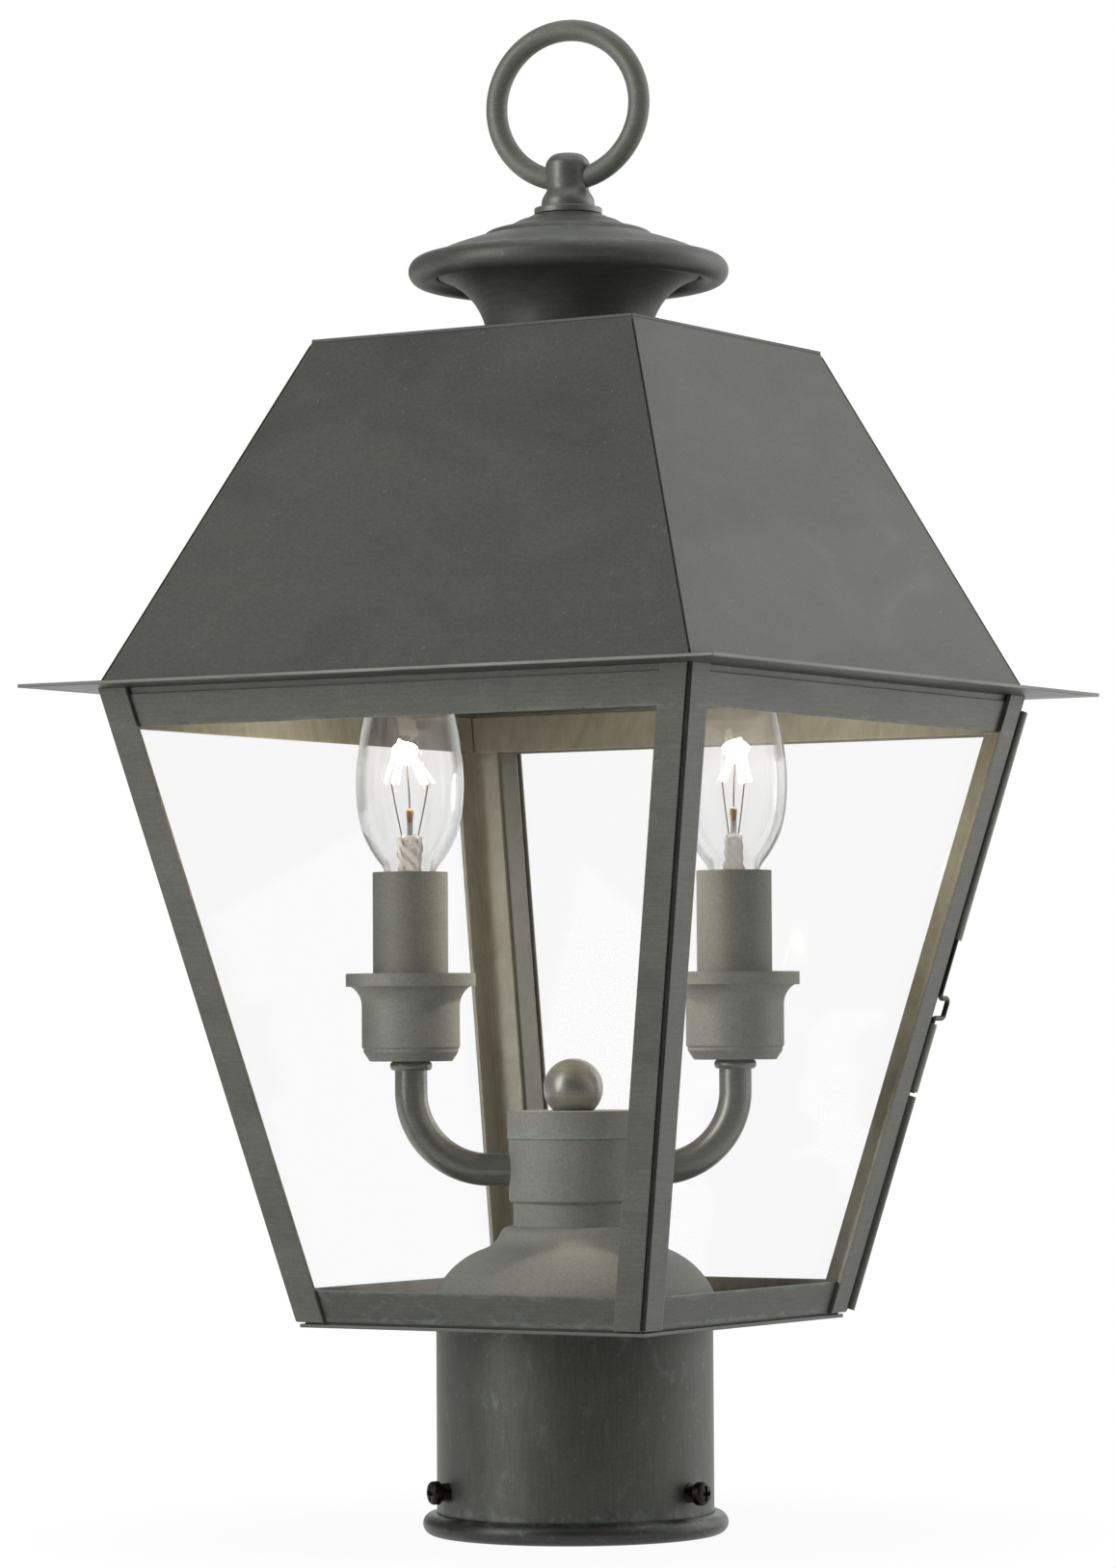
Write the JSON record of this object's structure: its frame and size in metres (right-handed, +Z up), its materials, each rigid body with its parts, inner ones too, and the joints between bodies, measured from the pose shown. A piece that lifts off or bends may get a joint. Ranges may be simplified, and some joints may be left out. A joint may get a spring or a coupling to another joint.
{
  "type": "post light",
  "caption": "Square tapered glass lantern with a hipped roof, vented cap and hanging ring, candle lamps inside, a latched side door and a sleeve that clamps over a round post.",
  "frame": {"origin": "centre of the post sleeve's foot, where the light stands", "axes": "+Z up along the post, the four glass faces square to X and Y, the door on the +Y face"},
  "size_m": [0.231, 0.231, 0.4448],
  "materials": {
    "aged_brass": "dark grey-green patina, matt",
    "cluster_brass": "dark grey-green patina, matt",
    "wire_brass": "dark bronze",
    "screw_steel": "blackened",
    "inner_steel": "plain zinc",
    "pane_glass": "clear polished",
    "bulb_glass": "clear polished",
    "bulb_metal": "bright",
    "filament_wire": "dull",
    "socket_plastic": "matt",
    "lead_insulation": "matt"
  },
  "bodies": {
    "lantern": {"post_sleeve": "aged_brass", "foot_bead": "aged_brass", "bottom_plate": "aged_brass", "base_dome": "cluster_brass", "stem_bridge": "inner_steel", "bridge_rivets": "inner_steel", "centre_stem": "inner_steel", "stem_locknut": "inner_steel", "hub_neck": "cluster_brass", "hub_body": "cluster_brass", "hub_lid": "cluster_brass", "ball_finial": "cluster_brass", "lamp_arm_left": "cluster_brass", "lamp_arm_right": "cluster_brass", "arm_collars": "cluster_brass", "candle_cup_left": "cluster_brass", "candle_cup_right": "cluster_brass", "candle_sleeve_left": "cluster_brass", "candle_sleeve_right": "cluster_brass", "lamp_socket_left": "socket_plastic", "lamp_socket_right": "socket_plastic", "socket_shells": "bulb_metal", "bulb_glass_left": "bulb_glass", "bulb_glass_right": "bulb_glass", "bulb_base_left": "bulb_metal", "bulb_base_right": "bulb_metal", "bulb_mounts": "bulb_glass", "bulb_filaments": "filament_wire", "lead_wires": "lead_insulation", "corner_post_front": "aged_brass", "corner_post_right": "aged_brass", "corner_post_rear": "aged_brass", "corner_post_left": "aged_brass", "top_rails": "aged_brass", "bottom_rails": "aged_brass", "glass_pane_front_left": "pane_glass", "glass_pane_front_right": "pane_glass", "glass_pane_rear_left": "pane_glass", "glass_cleats": "aged_brass", "eave_plate": "aged_brass", "roof_shell": "aged_brass", "roof_top_plate": "aged_brass", "chimney": "aged_brass", "cap_strap": "aged_brass", "smoke_cap": "aged_brass", "cap_stud": "inner_steel", "cap_nuts": "inner_steel", "finial_washer": "aged_brass", "ring_finial": "aged_brass", "hanging_ring": "aged_brass", "post_tubes": "aged_brass", "hinge_pin": "wire_brass"},
    "door": {"door_frame": "aged_brass", "door_glass": "pane_glass", "door_tubes": "aged_brass"},
    "latch": {"latch_wire": "wire_brass"},
    "right_screw": {"clamp_screw_right": "screw_steel"},
    "rear_screw": {"clamp_screw_rear": "screw_steel"},
    "left_screw": {"clamp_screw_left": "screw_steel"}
  },
  "joints": [
    {"name": "door_hinge", "type": "hinge", "parent": "lantern", "child": "door", "pos_m": [-0.07129, 0.07999, 0.15], "axis": [-0.2113, 0.2113, 0.9543], "range_deg": [0, 110]},
    {"name": "latch_lift", "type": "slide", "parent": "door", "child": "latch", "axis": [0.2113, 0.2113, 0.9543], "range_m": [0, 0.016]},
    {"name": "clamp_screw_right_feed", "type": "slide", "parent": "lantern", "child": "right_screw", "axis": [-0.9973, 0.0732, 0], "range_m": [0, 0.0028]},
    {"name": "clamp_screw_rear_feed", "type": "slide", "parent": "lantern", "child": "rear_screw", "axis": [0.4352, -0.9003, 0], "range_m": [0, 0.0028]},
    {"name": "clamp_screw_left_feed", "type": "slide", "parent": "lantern", "child": "left_screw", "axis": [0.5621, 0.8271, 0], "range_m": [0, 0.0028]}
  ]
}
